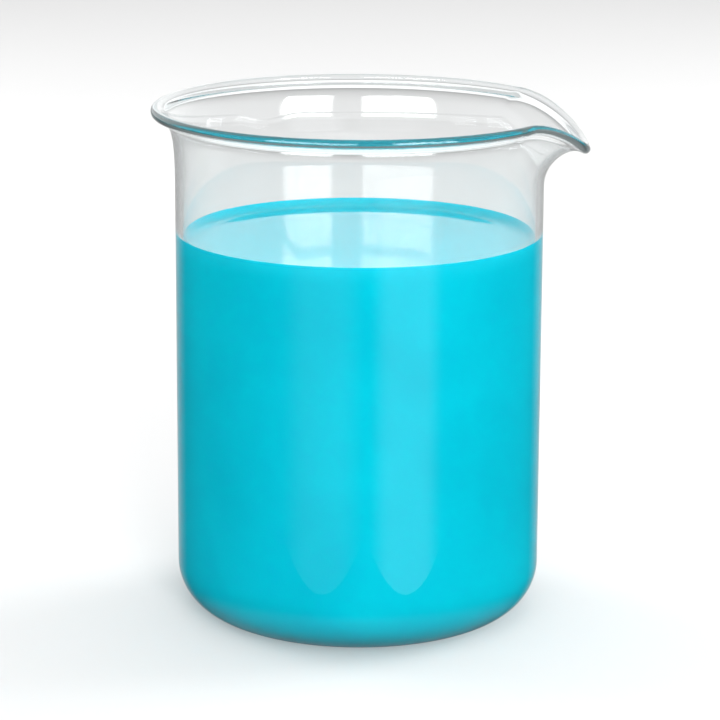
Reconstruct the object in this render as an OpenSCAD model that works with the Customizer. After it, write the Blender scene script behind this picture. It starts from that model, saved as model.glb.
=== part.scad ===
// Low-form laboratory beaker of the 600 ml size, with a pressed pouring spout, and the
// cloudy liquid that stands in it.
//
// Frame: the origin is the centre of the base, on the surface that the beaker stands on.
// +Z is up, along the axis of the body, and the spout points along +X.
//
// The glass is one shell. Its head is a lip that leaves the wall as a curve and ends in a
// round bead. The same lip function gives the flare all the way round and, with a wider
// reach and a drop, the spout.

/* [Body] */
// Outside diameter of the straight wall
body_d = 90; // [84:1:96]
// Height from the surface it stands on to the top of the rim
height = 127; // [115:1:140]
// Thickness of the wall
wall_t = 1.8; // [1.4:0.1:2.4]
// Thickness of the base at the ring that it stands on
base_t = 2.6; // [2:0.1:4]
// Outside radius of the heel, where the wall turns into the base
heel_r = 12.8; // [9:0.1:16]
// Height of the hollow under the middle of the base
push_up = 0.8; // [0.2:0.1:1.2]
// Radius of the hollow under the base, inside the ring that it stands on
push_up_r = 24; // [16:1:28]

/* [Rim] */
// Overall diameter of the rim, across its bead
rim_d = 101.5; // [98:0.5:105]
// Diameter of the fire-polished bead
bead_d = 2.4; // [2.4:0.1:3.2]
// How far below the top of the rim the straight wall ends and the lip begins, all the way round
lip_depth = 19; // [17:0.5:24]
// Slope of the lip at the bead, above the horizontal
flare_slope = 31; // [20:1:40]

/* [Spout] */
// Distance from the axis to the tip of the spout
spout_reach = 56.1; // [54:0.1:59]
// How far the bead drops from the rim to the tip
spout_drop = 9; // [5:0.5:10]
// Slope of the lip at the tip, below the horizontal
spout_droop = 31; // [0:1:40]
// Half of the angle that the spout takes up round the rim
spout_half_angle = 36; // [32:1:40]

/* [Liquid] */
// Height of the flat surface of the liquid above the surface that the beaker stands on
liquid_level = 94; // [40:1:98]
// How far the liquid climbs the glass at its edge
meniscus_rise = 2; // [1.5:0.1:4]
// Gap between the liquid and the glass, so that the two turn freely
liquid_gap = 0.3; // [0.2:0.05:0.4]

/* [Hidden] */
$fn = 120;

body_r = body_d / 2;
inner_r = body_r - wall_t;
bead_r = bead_d / 2;

// Steps along the curves: the heel's quarter circle, the hollow under the base, the lip
// from the wall to the bead, the bead's half circle (an odd number), and the meniscus
heel_steps = 8;
push_up_steps = 6;
lip_steps = 10;
bead_steps = 7;
meniscus_steps = 10;
// Angle between two sections of the spout
spout_step = 3;

// The lip is a curve with four control points. These are the lengths of its two handles,
// at the wall and at the bead, for the flare and for the middle of the spout.
flare_handles = [15.5, 4.4];
spout_handles = [6, 4.2];
// The wall's thickness grows into the bead over the last part of the lip, from here on
bead_blend = 0.7;

// How the flare becomes the spout: 1 at the middle of the spout, 0 at its shoulders.
// A larger first exponent makes a broader crown, a larger second one a softer shoulder.
reach_crown = [2.7, 1.45];
drop_crown = [1.8, 1.95];
form_crown = [1.5, 1.5];

// The spout is set into a window cut in the wall, and runs this far past its edges, a
// little thinner there, so that the two solids cross and join
window_z = height - lip_depth - 1;
seat_depth = 0.6;
seat_angle = 0.6;
seat_inset = 0.03;
// Step of the differences that give the lip's directions
tiny = 0.01;

// The meniscus falls away from the glass by a factor of e over this length
meniscus_length = 1.3;

function unit(v) = v / norm(v);
function mix(a, b, t) = a + (b - a) * t;
function smooth(t) = t * t * (3 - 2 * t);
function clamp(t) = min(1, max(0, t));

// Share of the spout at an angle round the rim, for one of the crowns above
function crown(angle, shape) =
    pow(1 - pow(clamp(abs(angle) / spout_half_angle), shape[0]), shape[1]);

// Points of an arc in the profile plane, from one angle to another
function arc(centre, r, from, to, steps) = [
    for (i = [0:steps])
        let (a = mix(from, to, i / steps)) centre + r * [cos(a), sin(a)]
];

// A point on the curve with four control points
function bezier(p, t) =
    pow(1 - t, 3) * p[0] + 3 * t * pow(1 - t, 2) * p[1]
    + 3 * t * t * (1 - t) * p[2] + pow(t, 3) * p[3];

// Control points of the middle of the lip, in the plane of the axis at an angle
function lip_controls(angle) =
    let (
        form = crown(angle, form_crown),
        foot = [body_r - wall_t / 2, height - lip_depth],
        bead = [mix(rim_d / 2, spout_reach, crown(angle, reach_crown)) - bead_r,
                height - bead_r - spout_drop * crown(angle, drop_crown)],
        slope = mix(flare_slope, -spout_droop, form),
        handles = mix(flare_handles, spout_handles, form)
    )
    [foot, foot + [0, handles[0]],
     bead - handles[1] * [cos(slope), sin(slope)], bead];

// A point in the middle of the lip, at a share of its length and an angle round the axis
function lip_middle(t, angle) =
    let (p = bezier(lip_controls(angle), t)) [p[0] * cos(angle), p[0] * sin(angle), p[1]];

// Direction of the lip round the rim, its direction towards the bead, and its outward normal
function lip_round(t, angle) = unit(lip_middle(t, angle + tiny) - lip_middle(t, angle - tiny));
function lip_along(t, angle) =
    unit(lip_middle(min(1, t + tiny), angle) - lip_middle(max(0, t - tiny), angle));
function lip_normal(t, angle) = unit(cross(lip_round(t, angle), lip_along(t, angle)));

// Half of the lip's thickness, which grows into the bead
function lip_half(t) =
    mix(wall_t / 2, bead_r, smooth(clamp((t - bead_blend) / (1 - bead_blend))));

// One section of the lip: up its outside, round the bead and down its inside
function lip_section(angle, inset = 0) =
    let (
        shares = [for (i = [0:lip_steps]) i / lip_steps],
        end = lip_middle(1, angle),
        normal = lip_normal(1, angle),
        ahead = cross(normal, lip_round(1, angle))
    )
    concat(
        [for (t = shares)
            lip_middle(t, angle) + lip_normal(t, angle) * (lip_half(t) - inset)],
        [for (i = [1:bead_steps - 1])
            let (a = 90 - 180 * i / bead_steps)
            end + (bead_r - inset) * (cos(a) * ahead + sin(a) * normal)],
        [for (i = [lip_steps:-1:0])
            let (t = shares[i])
            lip_middle(t, angle) - lip_normal(t, angle) * (lip_half(t) - inset)]
    );

// The section as an outline in the plane of the axis
function flat_section(section) = [for (p = section) [norm([p[0], p[1]]), p[2]]];

// The glass as an outline from the middle of the base round to the middle of the floor
function shell_outline() =
    let (
        dome_r = (pow(push_up_r, 2) + pow(push_up, 2)) / (2 * push_up),
        dome_angle = asin(push_up_r / dome_r),
        floor_r = heel_r - wall_t
    )
    concat(
        arc([0, push_up - dome_r], dome_r, 90, 90 - dome_angle, push_up_steps),
        arc([body_r - heel_r, heel_r], heel_r, -90, 0, heel_steps),
        flat_section(lip_section(180)),
        arc([inner_r - floor_r, base_t + floor_r], floor_r, 0, -90, heel_steps),
        [[0, base_t]]
    );

// Outline of the liquid, from the middle of its underside round to the middle of its surface
function liquid_outline() =
    let (
        edge_r = inner_r - liquid_gap,
        floor_r = heel_r - wall_t - liquid_gap,
        floor_z = base_t + liquid_gap
    )
    concat(
        [[0, floor_z]],
        arc([edge_r - floor_r, floor_z + floor_r], floor_r, -90, 0, heel_steps),
        [for (i = [0:meniscus_steps])
            let (away = 4 * meniscus_length * pow(i / meniscus_steps, 2))
            [edge_r - away, liquid_level + meniscus_rise * exp(-away / meniscus_length)]],
        [[0, liquid_level]]
    );

// Wedge cut out of the wall and the rim for the spout
module spout_window() {
    far = 2 * spout_reach;
    translate([0, 0, window_z])
        linear_extrude(height = height)
            polygon([[0, 0],
                     far * [cos(spout_half_angle), -sin(spout_half_angle)],
                     far * [cos(spout_half_angle), sin(spout_half_angle)]]);
}

// A point of the straight wall below the spout, on its outside (1) or its inside (-1)
function wall_point(angle, z, side) =
    let (r = body_r - wall_t / 2 + side * (wall_t / 2 - seat_inset))
    [r * cos(angle), r * sin(angle), z];

// The spout: sections of the lip, each closed by a short stretch of wall below it
module spout() {
    rows = round(2 * spout_half_angle / spout_step);
    angles = concat(
        [-spout_half_angle - seat_angle],
        [for (i = [0:rows]) mix(-spout_half_angle, spout_half_angle, i / rows)],
        [spout_half_angle + seat_angle]);
    loops = [
        for (a = angles)
            concat(
                [for (z = [window_z - seat_depth, window_z]) wall_point(a, z, 1)],
                lip_section(a, abs(a) >= spout_half_angle - tiny ? seat_inset : 0),
                [for (z = [window_z, window_z - seat_depth]) wall_point(a, z, -1)])
    ];
    n = len(loops[0]);
    last = (len(loops) - 1) * n;
    sides = [
        for (i = [0:n:last - n], j = [0:n - 1])
            [i + j, i + (j + 1) % n, i + n + (j + 1) % n, i + n + j]
    ];
    // Each end is a strip across the thickness, from the wall to the bead
    ends = [
        for (j = [0:n / 2 - 2])
            each [[n - 1 - j, n - 2 - j, j + 1, j],
                  [last + j, last + j + 1, last + n - 2 - j, last + n - 1 - j]]
    ];
    polyhedron(points = [for (loop = loops) each loop], faces = concat(sides, ends));
}

// Glass vessel: base, wall, flared rim and spout in one piece
module vessel()
    color("lightcyan", 0.4)
        union() {
            difference() {
                rotate_extrude() polygon(shell_outline());
                spout_window();
            }
            spout();
        }

// Liquid: fills the vessel up to its level, with a raised edge
module liquid()
    color("deepskyblue")
        rotate_extrude() polygon(liquid_outline());

vessel();
liquid();
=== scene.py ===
"""Looks of a low-form laboratory beaker and its cloudy cyan liquid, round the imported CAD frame.

The row frame is kept: metres, +Z up the axis of the body, +X towards the spout, origin at the
centre of the base. Both visible pieces are solids of revolution made by a spin; the head of the
glass is then carried from the round flare into the drooping spout by the lip function.
"""

import logging
import math
from dataclasses import dataclass
from enum import Enum

import bmesh
import bpy
from mathutils import Matrix, Vector


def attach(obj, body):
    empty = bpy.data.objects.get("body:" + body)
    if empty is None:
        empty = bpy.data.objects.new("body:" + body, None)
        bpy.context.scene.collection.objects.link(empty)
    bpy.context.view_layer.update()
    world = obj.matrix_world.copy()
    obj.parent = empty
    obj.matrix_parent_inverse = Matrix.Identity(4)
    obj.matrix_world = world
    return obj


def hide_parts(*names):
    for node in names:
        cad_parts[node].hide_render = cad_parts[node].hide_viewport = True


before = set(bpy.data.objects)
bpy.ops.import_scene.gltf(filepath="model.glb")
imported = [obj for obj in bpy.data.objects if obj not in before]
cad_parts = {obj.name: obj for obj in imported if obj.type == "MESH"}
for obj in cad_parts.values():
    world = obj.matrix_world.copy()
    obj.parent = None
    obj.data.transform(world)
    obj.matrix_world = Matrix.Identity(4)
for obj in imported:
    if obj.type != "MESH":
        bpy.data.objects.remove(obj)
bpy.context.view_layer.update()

LOG = logging.getLogger("beaker")
FULL_TURN = 2 * math.pi
QUARTER = math.pi / 2
MERGE_DISTANCE = 1e-6
Colour = tuple[float, float, float]


class Body(Enum):
    """The CAD bodies that pieces ride on."""

    GLASS = "glass_body"
    FILLING = "filling"


class Node(Enum):
    """The CAD nodes that pieces stand for."""

    VESSEL = "vessel"
    LIQUID = "liquid"


class Slot(Enum):
    """The record's material slots."""

    GLASS = "glass"
    LIQUID = "liquid"


class Blend(Enum):
    """What a Mix node blends: its type, the places of its three inputs, and its output's."""

    NUMBERS = ("FLOAT", 0, 2, 3, 0)
    COLOURS = ("RGBA", 0, 6, 7, 2)


def mix(a: float, b: float, share: float) -> float:
    """The value that lies a share of the way from a to b."""
    return a + (b - a) * share


def clamp(value: float) -> float:
    """The value held between 0 and 1."""
    return min(1.0, max(0.0, value))


def smooth(share: float) -> float:
    """The share eased in and out."""
    return share * share * (3 - 2 * share)


@dataclass(frozen=True)
class Station:
    """A point of an outline that is spun about the axis.

    A point of the lip also knows where it sits on it, so that the spout can move it.
    """

    radius: float
    height: float
    on_lip: bool = False
    share: float = 0.0
    across: float = 0.0
    ahead: float = 0.0


def new_object(name: str, data: bpy.types.ID) -> bpy.types.Object:
    """Makes an object and links it to the scene.

    Args:
        name: Name of the object.
        data: Its mesh, light or camera.

    Returns:
        The object, at the origin.
    """
    made = bpy.data.objects.new(name, data)
    bpy.context.scene.collection.objects.link(made)
    return made


def mesh_object(name: str, bm: bmesh.types.BMesh) -> bpy.types.Object:
    """Turns a bmesh into an object, and frees it.

    Args:
        name: Name of the object and its mesh.
        bm: The bmesh.

    Returns:
        The object, at the origin.
    """
    mesh = bpy.data.meshes.new(name)
    bm.to_mesh(mesh)
    bm.free()
    return new_object(name, mesh)


def arc(centre: tuple[float, float], radius: float, start: float, end: float,
        steps: int) -> list[Station]:
    """Stations along an arc in the plane of the axis.

    Args:
        centre: Distance from the axis and height of the arc's centre.
        radius: Radius of the arc.
        start: Angle of the first station, in radians above the horizontal.
        end: Angle of the last station.
        steps: Number of stretches.

    Returns:
        The stations, both ends included.
    """
    angles = [mix(start, end, i / steps) for i in range(steps + 1)]
    return [Station(centre[0] + radius * math.cos(a), centre[1] + radius * math.sin(a))
            for a in angles]


def straight(radius: float, start: float, end: float, steps: int = 6,
             margin: float = 0.0004) -> list[Station]:
    """Stations inside a straight stretch of wall, with one close to each end.

    The two outer ones keep the curves at its ends from bending the light along the wall.

    Args:
        radius: Radius of the wall.
        start: Height of its first end.
        end: Height of its other end.
        steps: Number of stretches between the two outer stations.
        margin: Distance of the outer stations from the ends.

    Returns:
        The stations, without the ends.
    """
    inset = math.copysign(margin, end - start)
    return [Station(radius, mix(start + inset, end - inset, i / steps))
            for i in range(steps + 1)]


@dataclass(frozen=True)
class Crown:
    """How a measure of the lip fades from the middle of the spout to its shoulders.

    A larger breadth makes a broader crown, and a larger softness a softer shoulder.
    """

    breadth: float
    softness: float

    def share(self, turn: float) -> float:
        """Share of the spout at a turn: 0 is its middle and 1 its shoulder."""
        return (1 - clamp(turn) ** self.breadth) ** self.softness


@dataclass(frozen=True)
class Lip:
    """The lip of the glass: a flare that becomes a drooping spout round the +X side.

    The lip is a curve with four control points. The handles are the lengths of its two ends,
    at the wall and at the bead. The wall's thickness grows into the bead from bead_blend on,
    and step is the small difference that the lip's directions are measured over.
    """

    body_radius: float
    wall: float
    height: float
    bead_radius: float = 0.0012
    depth: float = 0.019
    rim_radius: float = 0.05075
    flare_slope: float = math.radians(31)
    spout_reach: float = 0.0561
    spout_drop: float = 0.009
    spout_droop: float = math.radians(31)
    spout_half_angle: float = math.radians(36)
    flare_handles: tuple[float, float] = (0.0155, 0.0044)
    spout_handles: tuple[float, float] = (0.006, 0.0042)
    bead_blend: float = 0.7
    reach: Crown = Crown(2.7, 1.45)
    drop: Crown = Crown(1.8, 1.95)
    form: Crown = Crown(1.5, 1.5)
    step: float = 1e-3

    def controls(self, angle: float) -> list[Vector]:
        """Control points of the middle of the lip.

        Args:
            angle: Angle round the axis, in radians from the middle of the spout.

        Returns:
            Four points, each a distance from the axis and a height.
        """
        turn = abs(angle) / self.spout_half_angle
        form = self.form.share(turn)
        foot = Vector((self.body_radius - self.wall / 2, self.height - self.depth))
        bead = Vector((
            mix(self.rim_radius, self.spout_reach, self.reach.share(turn)) - self.bead_radius,
            self.height - self.bead_radius - self.spout_drop * self.drop.share(turn)))
        slope = mix(self.flare_slope, -self.spout_droop, form)
        at_wall = mix(self.flare_handles[0], self.spout_handles[0], form)
        at_bead = mix(self.flare_handles[1], self.spout_handles[1], form)
        along = Vector((math.cos(slope), math.sin(slope)))
        return [foot, foot + Vector((0, at_wall)), bead - at_bead * along, bead]

    def middle(self, share: float, angle: float) -> Vector:
        """A point in the middle of the lip.

        Args:
            share: Share of the lip's length, 0 at the wall and 1 at the bead.
            angle: Angle round the axis.

        Returns:
            The point, in the row frame.
        """
        p, rest = self.controls(angle), 1 - share
        flat = (rest ** 3 * p[0] + 3 * share * rest ** 2 * p[1]
                + 3 * share ** 2 * rest * p[2] + share ** 3 * p[3])
        return Vector((flat[0] * math.cos(angle), flat[0] * math.sin(angle), flat[1]))

    def half(self, share: float) -> float:
        """Half of the lip's thickness at a share of its length."""
        grown = smooth(clamp((share - self.bead_blend) / (1 - self.bead_blend)))
        return mix(self.wall / 2, self.bead_radius, grown)

    def place(self, share: float, across: float, ahead: float, angle: float) -> Vector:
        """Where a point of the lip lies.

        Args:
            share: Share of the lip's length, 0 at the wall and 1 at the bead.
            across: Half thicknesses outwards from the middle.
            ahead: Half thicknesses past the end, round the bead.
            angle: Angle round the axis.

        Returns:
            The point, in the row frame.
        """
        d = self.step
        round_it = (self.middle(share, angle + d) - self.middle(share, angle - d)).normalized()
        along = (self.middle(min(1.0, share + d), angle)
                 - self.middle(max(0.0, share - d), angle)).normalized()
        normal = round_it.cross(along).normalized()
        forward = normal.cross(round_it)
        return (self.middle(share, angle)
                + self.half(share) * (across * normal + ahead * forward))

    def stations(self, lip_steps: int, bead_steps: int) -> list[Station]:
        """Stations up the outside of the lip, round the bead and down the inside.

        Args:
            lip_steps: Number of stretches from the wall to the bead.
            bead_steps: Number of stretches round the bead.

        Returns:
            The stations opposite the spout, where the lip is a plain flare.
        """
        shares = [i / lip_steps for i in range(lip_steps + 1)]
        turns = [mix(QUARTER, -QUARTER, i / bead_steps) for i in range(1, bead_steps)]
        places = [(s, 1.0, 0.0) for s in shares]
        places += [(1.0, math.sin(a), math.cos(a)) for a in turns]
        places += [(s, -1.0, 0.0) for s in reversed(shares)]
        found = []
        for share, across, ahead in places:
            p = self.place(share, across, ahead, math.pi)
            found.append(Station(-p.x, p.z, True, share, across, ahead))
        return found


class Lathe:
    """Spins an outline of stations into a closed mesh, and moves what lies on the lip."""

    LAYERS = ("on_lip", "share", "across", "ahead")
    # A layer holds numbers only, and a point above this one counts as on the lip
    MARKED = 0.5
    # An edge that turns further than this stays hard
    CREASE = math.radians(50)

    def __init__(self, name: str, outline: list[Station], steps: int,
                 lip: Lip | None = None) -> None:
        """Keeps what the mesh is made from.

        Args:
            name: Name of the piece.
            outline: Stations from the axis round to the axis.
            steps: Number of stretches round the axis.
            lip: The lip that carries the stations marked as on it, if there is one.
        """
        self.name, self.outline, self.steps, self.lip = name, outline, steps, lip

    def _draw(self, bm: bmesh.types.BMesh) -> None:
        """Draws the outline in the XZ plane, opposite the spout, with its lip places kept.

        Args:
            bm: The bmesh to draw in.
        """
        layers = [bm.verts.layers.float.new(n) for n in self.LAYERS]
        drawn = []
        for s in self.outline:
            v = bm.verts.new((-s.radius, 0, s.height))
            for layer, value in zip(layers, (float(s.on_lip), s.share, s.across, s.ahead)):
                v[layer] = value
            drawn.append(v)
        for a, b in zip(drawn, drawn[1:]):
            bm.edges.new((a, b))

    def _shape_lip(self, bm: bmesh.types.BMesh) -> None:
        """Moves the lip's points from the round flare to where the lip function puts them.

        Args:
            bm: The spun bmesh.
        """
        on_lip, share, across, ahead = (bm.verts.layers.float[n] for n in self.LAYERS)
        for v in bm.verts:
            if v[on_lip] > self.MARKED:
                angle = math.atan2(v.co.y, v.co.x)
                v.co = self.lip.place(v[share], v[across], v[ahead], angle)

    def build(self) -> bpy.types.Object:
        """Spins the outline.

        Returns:
            The piece, linked to the scene, at the origin with its place in its mesh.
        """
        bm = bmesh.new()
        self._draw(bm)
        bmesh.ops.spin(bm, geom=bm.verts[:] + bm.edges[:], cent=(0, 0, 0), axis=(0, 0, 1),
                       dvec=(0, 0, 0), angle=FULL_TURN, steps=self.steps, use_merge=True)
        bmesh.ops.remove_doubles(bm, verts=bm.verts[:], dist=MERGE_DISTANCE)
        if self.lip is not None:
            self._shape_lip(bm)
        bmesh.ops.recalc_face_normals(bm, faces=bm.faces[:])
        for f in bm.faces:
            f.smooth = True
        for e in bm.edges:
            e.smooth = e.calc_face_angle(0.0) < self.CREASE
        for name in self.LAYERS:
            bm.verts.layers.float.remove(bm.verts.layers.float[name])
        return mesh_object(self.name, bm)


class NodeBoard:
    """Adds and links the nodes of a material, a world or a light."""

    def __init__(self, tree: bpy.types.NodeTree) -> None:
        """Starts with an empty tree."""
        self.tree = tree
        tree.nodes.clear()

    def add(self, kind: str, settings: dict[str, object] | None = None,
            **values: object) -> bpy.types.Node:
        """Adds a node.

        Args:
            kind: The node's type.
            settings: Values of its properties.
            **values: Values of its inputs, with underscores for spaces in their names. A
                value that is an output socket is linked.

        Returns:
            The node.
        """
        node = self.tree.nodes.new(kind)
        for name, value in (settings or {}).items():
            setattr(node, name, value)
        for name, value in values.items():
            self.put(value, node.inputs[name.replace("_", " ")])
        return node

    def put(self, value: object, into: bpy.types.NodeSocket) -> None:
        """Links an output to an input, or gives the input a plain value.

        Args:
            value: The output socket, or the value.
            into: The input socket.
        """
        if isinstance(value, bpy.types.NodeSocket):
            self.tree.links.new(value, into)
        else:
            into.default_value = value

    def maths(self, operation: str, first: object, second: object) -> bpy.types.NodeSocket:
        """Works on two numbers.

        Args:
            operation: The Math node's operation.
            first: The first number, or the output that gives it.
            second: The second one.

        Returns:
            The output with the result.
        """
        node = self.add("ShaderNodeMath", {"operation": operation})
        for value, socket in zip((first, second), node.inputs):
            self.put(value, socket)
        return node.outputs[0]

    def blended(self, kind: Blend, share: bpy.types.NodeSocket, first: object,
                second: object) -> bpy.types.NodeSocket:
        """Blends two numbers or two colours.

        Args:
            kind: Whether they are numbers or colours.
            share: The output that gives the share of the second one.
            first: The first value, or the output that gives it.
            second: The second one.

        Returns:
            The output with the blend.
        """
        data_type, *places, result = kind.value
        node = self.add("ShaderNodeMix", {"data_type": data_type})
        for value, place in zip((share, first, second), places):
            self.put(value, node.inputs[place])
        return node.outputs[result]

    def ranged(self, value: bpy.types.NodeSocket, low: float, high: float,
               to_low: float, to_high: float) -> bpy.types.NodeSocket:
        """The value carried smoothly from one range to another."""
        return self.add("ShaderNodeMapRange", {"interpolation_type": "SMOOTHSTEP"}, Value=value,
                        From_Min=low, From_Max=high, To_Min=to_low, To_Max=to_high).outputs[0]


def new_material(name: str) -> tuple[bpy.types.Material, NodeBoard]:
    """Makes a material with an empty node tree.

    Args:
        name: Name of the material.

    Returns:
        The material, and the board that fills its tree.
    """
    material = bpy.data.materials.new(name)
    material.use_nodes = True
    return material, NodeBoard(material.node_tree)


@dataclass(frozen=True)
class GlassFinish:
    """Clear borosilicate glass: fire-polished, faintly wavy, a little teal through its edges.

    Light that is caught in the wall, and mirrored more often than a few times, is let out
    darkened, so that the rim keeps its grey-green line and doesn't turn black.
    """

    ior: float = 1.474
    roughness: float = 0.004
    polish_wear: float = 0.02
    absorption: Colour = (0.42, 0.8, 0.83)
    density: float = 20.0
    shadow_tint: Colour = (0.94, 0.975, 0.975)
    wave_scale: float = 26.0
    wave_detail: float = 1.0
    wave_depth: float = 0.00022
    wave_strength: float = 0.12
    wear_scale: float = 90.0
    wear_detail: float = 4.0
    wear_span: tuple[float, float] = (0.55, 0.8)
    trapped_tint: Colour = (0.82, 0.86, 0.865)
    most_mirrorings: float = 2.5

    def material(self) -> bpy.types.Material:
        """Builds the glass, which lets lamps through so that they reach the liquid.

        Returns:
            The material.
        """
        made, board = new_material("borosilicate_glass")
        place = board.add("ShaderNodeTexCoord").outputs["Object"]
        waves = board.add("ShaderNodeTexNoise", Vector=place, Scale=self.wave_scale,
                          Detail=self.wave_detail).outputs["Fac"]
        bump = board.add("ShaderNodeBump", Strength=self.wave_strength,
                         Distance=self.wave_depth, Height=waves).outputs["Normal"]
        wear = board.add("ShaderNodeTexNoise", Vector=place, Scale=self.wear_scale,
                         Detail=self.wear_detail).outputs["Fac"]
        rough = board.ranged(wear, *self.wear_span, self.roughness, self.polish_wear)
        glass = board.add("ShaderNodeBsdfPrincipled", Base_Color=(1, 1, 1, 1), Roughness=rough,
                          IOR=self.ior, Transmission_Weight=1.0, Normal=bump).outputs[0]
        path = board.add("ShaderNodeLightPath")
        trapped = board.maths("GREATER_THAN", path.outputs["Glossy Depth"],
                              self.most_mirrorings)
        tint = board.blended(Blend.COLOURS, trapped, (*self.shadow_tint, 1),
                             (*self.trapped_tint, 1))
        open_way = board.add("ShaderNodeBsdfTransparent", Color=tint).outputs[0]
        passing = board.maths("MAXIMUM", path.outputs["Is Shadow Ray"], trapped)
        mixed = board.add("ShaderNodeMixShader", Fac=passing)
        board.put(glass, mixed.inputs[1])
        board.put(open_way, mixed.inputs[2])
        volume = board.add("ShaderNodeVolumeAbsorption", Color=(*self.absorption, 1),
                           Density=self.density).outputs[0]
        board.add("ShaderNodeOutputMaterial", Surface=mixed.outputs[0], Volume=volume)
        return made


@dataclass(frozen=True)
class LiquidFinish:
    """Opaque, milky cyan liquid with faint clouds in it, and paler towards its top: a painted
    highlight over the meniscus and the surface.

    Its free surface is glossy. Where it wets the glass it mirrors next to nothing, because
    the two bend light almost alike.
    """

    name: str
    gloss: float
    deep: Colour = (0.0002, 0.27, 0.34)
    pale: Colour = (0.0004, 0.30, 0.37)
    # Colour of the painted highlight that makes the liquid paler towards its top, over the
    # meniscus and the surface
    edge: Colour = (0.004, 0.31, 0.39)
    ior: float = 1.333
    roughness: float = 0.05
    milkiness: float = 0.12
    # Heights over which the painted highlight comes in
    painted_highlight_span: tuple[float, float] = (0.0915, 0.096)
    scatter_length: float = 0.0012
    scatter_reach: Colour = (0.2, 0.8, 1.0)
    cloud_scale: float = 34.0
    cloud_detail: float = 3.0
    cloud_roughness: float = 0.5
    cloud_swirl: float = 0.4
    cloud_span: tuple[float, float] = (0.3, 0.7)
    ripple_scale: float = 16.0
    ripple_detail: float = 1.0
    ripple_depth: float = 0.0001
    ripple_strength: float = 0.15

    def material(self) -> bpy.types.Material:
        """Builds the liquid.

        Returns:
            The material.
        """
        made, board = new_material(self.name)
        place = board.add("ShaderNodeTexCoord").outputs["Object"]
        clouds = board.add("ShaderNodeTexNoise", Vector=place, Scale=self.cloud_scale,
                           Detail=self.cloud_detail, Roughness=self.cloud_roughness,
                           Distortion=self.cloud_swirl).outputs["Fac"]
        cloudy = board.ranged(clouds, *self.cloud_span, 0.0, 1.0)
        body = board.blended(Blend.COLOURS, cloudy, (*self.deep, 1), (*self.pale, 1))
        height = board.add("ShaderNodeSeparateXYZ", Vector=place).outputs["Z"]
        # Painted highlight: the colour grows paler towards the top of the liquid, by height
        painted_highlight_share = board.ranged(height, *self.painted_highlight_span, 0.0, 1.0)
        colour = board.blended(Blend.COLOURS, painted_highlight_share, body, (*self.edge, 1))
        ripples = board.add("ShaderNodeTexNoise", Vector=place, Scale=self.ripple_scale,
                            Detail=self.ripple_detail).outputs["Fac"]
        bump = board.add("ShaderNodeBump", Strength=self.ripple_strength,
                         Distance=self.ripple_depth, Height=ripples).outputs["Normal"]
        liquid = board.add("ShaderNodeBsdfPrincipled", Base_Color=colour,
                           Roughness=self.roughness, IOR=self.ior,
                           Specular_IOR_Level=self.gloss,
                           Subsurface_Weight=self.milkiness,
                           Subsurface_Radius=self.scatter_reach,
                           Subsurface_Scale=self.scatter_length, Normal=bump).outputs[0]
        board.add("ShaderNodeOutputMaterial", Surface=liquid)
        return made


@dataclass(frozen=True)
class FloorFinish:
    """Pale, matt studio floor, a shade darker through the glass than beside it.

    That keeps the glass from washing out in front of a white floor.
    """

    beside: float = 0.6
    through: float = 0.47
    roughness: float = 0.8

    def material(self) -> bpy.types.Material:
        """Builds the floor's material.

        Returns:
            The material.
        """
        made, board = new_material("pale_floor")
        direct = board.add("ShaderNodeLightPath").outputs["Is Camera Ray"]
        shade = board.ranged(direct, 0.0, 1.0, self.through, self.beside)
        surface = board.add("ShaderNodeBsdfPrincipled", Base_Color=shade,
                            Roughness=self.roughness, Specular_IOR_Level=0.0)
        board.add("ShaderNodeOutputMaterial", Surface=surface.outputs[0])
        return made


@dataclass
class GlassVessel:
    """The blown glass: base with its hollow, heel, wall, flare, bead and spout."""

    body_radius: float = 0.045
    height: float = 0.127
    wall: float = 0.0018
    base: float = 0.0026
    heel_radius: float = 0.0128
    push_up: float = 0.0008
    push_up_radius: float = 0.024
    turns: int = 288
    dome_steps: int = 10
    heel_steps: int = 20
    lip_steps: int = 26
    bead_steps: int = 14
    floor_steps: int = 18
    finish: GlassFinish = GlassFinish()

    def __post_init__(self) -> None:
        """Works out the lip that belongs to this body."""
        self.lip = Lip(self.body_radius, self.wall, self.height)

    @property
    def inner_radius(self) -> float:
        """Radius of the inside of the wall."""
        return self.body_radius - self.wall

    def outline(self) -> list[Station]:
        """Draws the glass from the middle of the underside to the middle of the floor.

        Returns:
            The stations.
        """
        dome = (self.push_up_radius ** 2 + self.push_up ** 2) / (2 * self.push_up)
        dome_angle = math.asin(self.push_up_radius / dome)
        floor = self.heel_radius - self.wall
        foot = self.height - self.lip.depth
        return [
            *arc((0, self.push_up - dome), dome, QUARTER, QUARTER - dome_angle,
                 self.dome_steps),
            *arc((self.body_radius - self.heel_radius, self.heel_radius),
                 self.heel_radius, -QUARTER, 0, self.heel_steps),
            *straight(self.body_radius, self.heel_radius, foot),
            *self.lip.stations(self.lip_steps, self.bead_steps),
            *straight(self.inner_radius, foot, self.base + floor),
            *arc((self.inner_radius - floor, self.base + floor), floor, 0, -QUARTER,
                 self.floor_steps),
            Station(self.push_up_radius, self.base),
            Station(0, self.base),
        ]

    def build(self) -> bpy.types.Object:
        """Builds and dresses the glass.

        Returns:
            The piece, riding on its body.
        """
        piece = Lathe("vessel_glass", self.outline(), self.turns, self.lip).build()
        piece.data.materials.append(self.finish.material())
        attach(piece, Body.GLASS.value)
        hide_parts(Node.VESSEL.value)
        return piece


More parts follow.
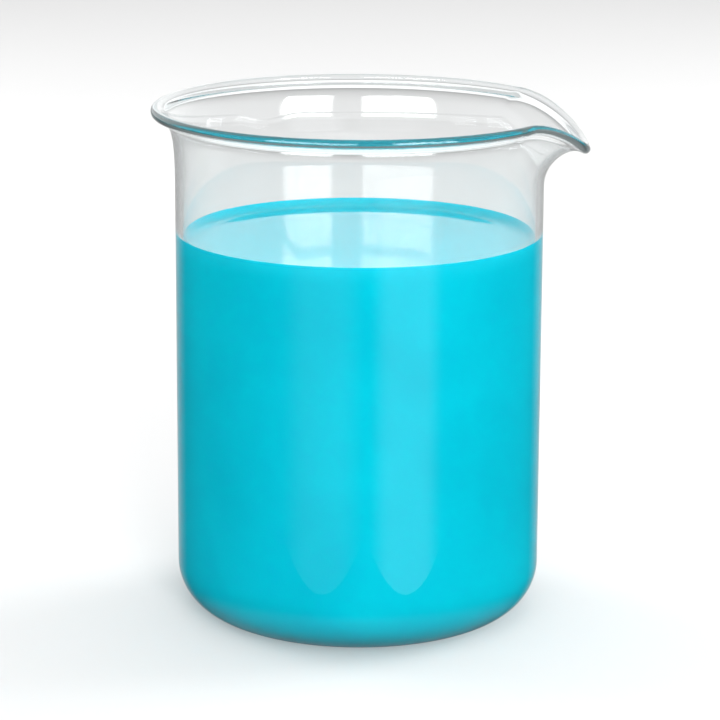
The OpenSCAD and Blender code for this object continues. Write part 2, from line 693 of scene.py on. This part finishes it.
@dataclass
class LiquidFilling:
    """The liquid: it wets the glass all over, and climbs it at the edge.

    The climb falls away by a factor of e over climb_length. The curve is followed inwards
    for meniscus_reach of those lengths, and is flat from there on.
    """

    # A face whose normal points up by less than this lies against the glass
    LEAST_UPWARD = 0.05
    vessel: GlassVessel
    level: float = 0.094
    rise: float = 0.002
    climb_length: float = 0.0013
    wetting: float = 0.00005
    turns: int = 256
    heel_steps: int = 16
    meniscus_steps: int = 26
    meniscus_reach: float = 5.0
    surface: LiquidFinish = LiquidFinish("liquid_surface", 0.5)
    wetted: LiquidFinish = LiquidFinish("liquid_at_glass", 0.0)

    def meniscus(self, edge: float) -> list[Station]:
        """Draws the climbing edge, from the glass inwards to the flat of the surface.

        Args:
            edge: Radius of the liquid at the glass.

        Returns:
            The stations, closer together near the glass.
        """
        reach = self.meniscus_reach * self.climb_length
        found = []
        for i in range(self.meniscus_steps + 1):
            away = reach * (i / self.meniscus_steps) ** 2
            climb = self.rise * math.exp(-away / self.climb_length)
            found.append(Station(edge - away, self.level + climb))
        return found

    def outline(self) -> list[Station]:
        """Draws the liquid from the middle of its underside to the middle of its surface.

        Returns:
            The stations.
        """
        edge = self.vessel.inner_radius + self.wetting
        heel = self.vessel.heel_radius - self.vessel.wall + self.wetting
        floor = self.vessel.base - self.wetting
        return [
            Station(0, floor),
            *arc((edge - heel, floor + heel), heel, -QUARTER, 0, self.heel_steps),
            *straight(edge, floor + heel, self.level + self.rise),
            *self.meniscus(edge),
            Station(edge / 2, self.level),
            Station(0, self.level),
        ]

    def build(self) -> bpy.types.Object:
        """Builds and dresses the liquid.

        Returns:
            The piece, riding on its body.
        """
        piece = Lathe("liquid_filling", self.outline(), self.turns).build()
        for finish in (self.surface, self.wetted):
            piece.data.materials.append(finish.material())
        for face in piece.data.polygons:
            face.material_index = int(face.normal.z < self.LEAST_UPWARD)
        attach(piece, Body.FILLING.value)
        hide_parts(Node.LIQUID.value)
        return piece


@dataclass(frozen=True)
class SoftPanel:
    """A softbox that faces the axis of the beaker, with sides that fade.

    A mirrored panel shows in the glass and the liquid, and lights nothing. The others light
    them and aren't mirrored. The azimuth and the half spread are in radians, from the front
    towards +X, low and high are the heights of its edges, and fade is the share of its width
    that each side fades over.
    """

    name: str
    azimuth: float
    half_spread: float
    low: float
    high: float
    radiance: float
    distance: float = 1.1
    fade: float = 0.12
    mirrored: bool = True

    def build(self) -> bpy.types.Object:
        """Makes the panel.

        Returns:
            The light, unseen by the camera itself.
        """
        width = 2 * self.distance * math.tan(self.half_spread)
        tall = self.high - self.low
        light = bpy.data.lights.new(self.name, "AREA")
        light.shape, light.size, light.size_y = "RECTANGLE", width, tall
        light.energy = self.radiance * width * tall * math.pi
        light.use_nodes = True
        board = NodeBoard(light.node_tree)
        where = board.add("ShaderNodeNewGeometry").outputs["Parametric"]
        parts = board.add("ShaderNodeSeparateXYZ", Vector=where)
        rise = board.ranged(parts.outputs[0], 0.0, self.fade, 0.0, 1.0)
        fall = board.ranged(parts.outputs[0], 1.0 - self.fade, 1.0, 1.0, 0.0)
        strength = board.maths("MULTIPLY", rise, fall)
        glow = board.add("ShaderNodeEmission", Strength=strength)
        board.add("ShaderNodeOutputLight", Surface=glow.outputs[0])
        panel = new_object(self.name, light)
        panel.location = (self.distance * math.sin(self.azimuth),
                          -self.distance * math.cos(self.azimuth), (self.low + self.high) / 2)
        panel.rotation_euler = (QUARTER, 0, self.azimuth)
        panel.visible_camera = False
        panel.visible_glossy = panel.visible_transmission = self.mirrored
        panel.visible_diffuse = not self.mirrored
        return panel


@dataclass(frozen=True)
class OverheadFill:
    """A wide, soft lamp above and behind the object, which isn't mirrored in it."""

    name: str = "overhead_fill"
    height: float = 1.4
    width: float = 1.8
    radiance: float = 0.75
    behind: float = 1.0

    def build(self) -> bpy.types.Object:
        """Makes the lamp.

        Returns:
            The light, unseen by the camera itself.
        """
        light = bpy.data.lights.new(self.name, "AREA")
        light.shape, light.size = "SQUARE", self.width
        light.energy = self.radiance * self.width ** 2 * math.pi
        lamp = new_object(self.name, light)
        lamp.location = (0, self.behind, self.height)
        lamp.visible_camera = lamp.visible_glossy = lamp.visible_transmission = False
        return lamp


@dataclass
class Studio:
    """The floor, the lights and the camera.

    The spans of the sky and the ground are the heights of a ray's direction that the light
    changes between, and for the back of the ground its depth.
    """

    floor_half: float = 5.0
    sky_colour: Colour = (1.0, 1.0, 1.0)
    sky_low: float = 1.2
    sky_high: float = 0.7
    ground_front: float = 0.03
    ground_back: float = 0.55
    ground_beneath: float = 0.3
    sky_span: tuple[float, float] = (0.3, 0.62)
    horizon_span: tuple[float, float] = (-0.03, 0.01)
    back_span: tuple[float, float] = (0.72, 1.0)
    beneath_span: tuple[float, float] = (-0.75, -0.4)
    camera_place: tuple[float, float, float] = (0.00033, -0.7548, 0.2497)
    camera_pitch: float = math.radians(13.88)
    camera_roll: float = math.radians(0.28)
    focal_length: float = 156.95
    sensor_width: float = 36.0
    camera_reach: tuple[float, float] = (0.05, 50.0)
    panels: tuple[SoftPanel, ...] = (
        SoftPanel("left_softbox", math.radians(-26.5), math.radians(26.5), 0.15, 0.95, 9.0,
                  fade=0.08),
        SoftPanel("right_softbox", math.radians(36), math.radians(19), 0.15, 0.95, 12.0),
        SoftPanel("left_strip", math.radians(-22), math.radians(27), -0.33, 0.14, 0.33,
                  fade=0.35),
        SoftPanel("right_strip", math.radians(30), math.radians(24), -0.33, 0.14, 0.8,
                  fade=0.3),
        SoftPanel("key_lamp", math.radians(13), math.radians(9), 0.28, 0.6, 33.0,
                  mirrored=False),
        SoftPanel("front_fill", 0.0, math.radians(35), 0.2, 1.0, 2.6, mirrored=False),
        SoftPanel("right_fill", math.radians(115), math.radians(20), 0.0, 0.9, 8.0,
                  mirrored=False),
        SoftPanel("left_fill", math.radians(-120), math.radians(20), 0.0, 0.9, 5.2,
                  mirrored=False),
    )

    def floor(self) -> bpy.types.Object:
        """Lays the floor.

        Returns:
            The floor, marked as part of the stage.
        """
        bm = bmesh.new()
        bmesh.ops.create_grid(bm, x_segments=1, y_segments=1, size=self.floor_half)
        piece = mesh_object("floor", bm)
        piece.data.materials.append(FloorFinish().material())
        piece.visible_glossy = False
        return piece

    def sky(self) -> bpy.types.World:
        """Makes the room: bright at the level of the object, dimmer overhead.

        What lies below the horizon stands in for the floor, which mirrored rays don't see: it
        is dark in front, and brighter at the back and straight beneath.

        Returns:
            The world.
        """
        world = bpy.data.worlds.new("studio_room")
        world.use_nodes = True
        board = NodeBoard(world.node_tree)
        ray = board.add("ShaderNodeTexCoord").outputs["Generated"]
        way = board.add("ShaderNodeSeparateXYZ", Vector=ray)
        depth, height = way.outputs["Y"], way.outputs["Z"]
        above = board.ranged(height, *self.sky_span, self.sky_low, self.sky_high)
        back = board.ranged(depth, *self.back_span, self.ground_front, self.ground_back)
        beneath = board.ranged(height, *self.beneath_span, self.ground_beneath, 0.0)
        below = board.maths("MAXIMUM", back, beneath)
        share = board.ranged(height, *self.horizon_span, 0.0, 1.0)
        strength = board.blended(Blend.NUMBERS, share, below, above)
        glow = board.add("ShaderNodeBackground", Color=(*self.sky_colour, 1),
                         Strength=strength)
        board.add("ShaderNodeOutputWorld", Surface=glow.outputs[0])
        bpy.context.scene.world = world
        return world

    def camera(self) -> bpy.types.Object:
        """Sets the camera up.

        Returns:
            The camera.
        """
        lens = bpy.data.cameras.new("camera")
        lens.lens, lens.sensor_width = self.focal_length, self.sensor_width
        lens.clip_start, lens.clip_end = self.camera_reach
        camera = new_object("camera", lens)
        turned = (Matrix.Rotation(QUARTER - self.camera_pitch, 4, "X")
                  @ Matrix.Rotation(self.camera_roll, 4, "Z"))
        camera.matrix_world = Matrix.Translation(self.camera_place) @ turned
        bpy.context.scene.camera = camera
        return camera

    def build(self) -> None:
        """Builds the whole studio."""
        self.camera()
        self.floor()
        self.sky()
        for panel in self.panels:
            panel.build()
        OverheadFill().build()
        view = bpy.context.scene.view_settings
        view.view_transform = "Standard"
        view.look = "None"


def report(piece: bpy.types.Object) -> None:
    """Logs a piece's name and its number of faces."""
    LOG.info("%s: %d faces", piece.name, len(piece.data.polygons))


def main() -> None:
    """Builds the studio and the pieces in order."""
    Studio().build()
    vessel = GlassVessel()
    report(vessel.build())
    report(LiquidFilling(vessel).build())


if __name__ == "__main__":
    logging.basicConfig(level=logging.INFO)
    main()
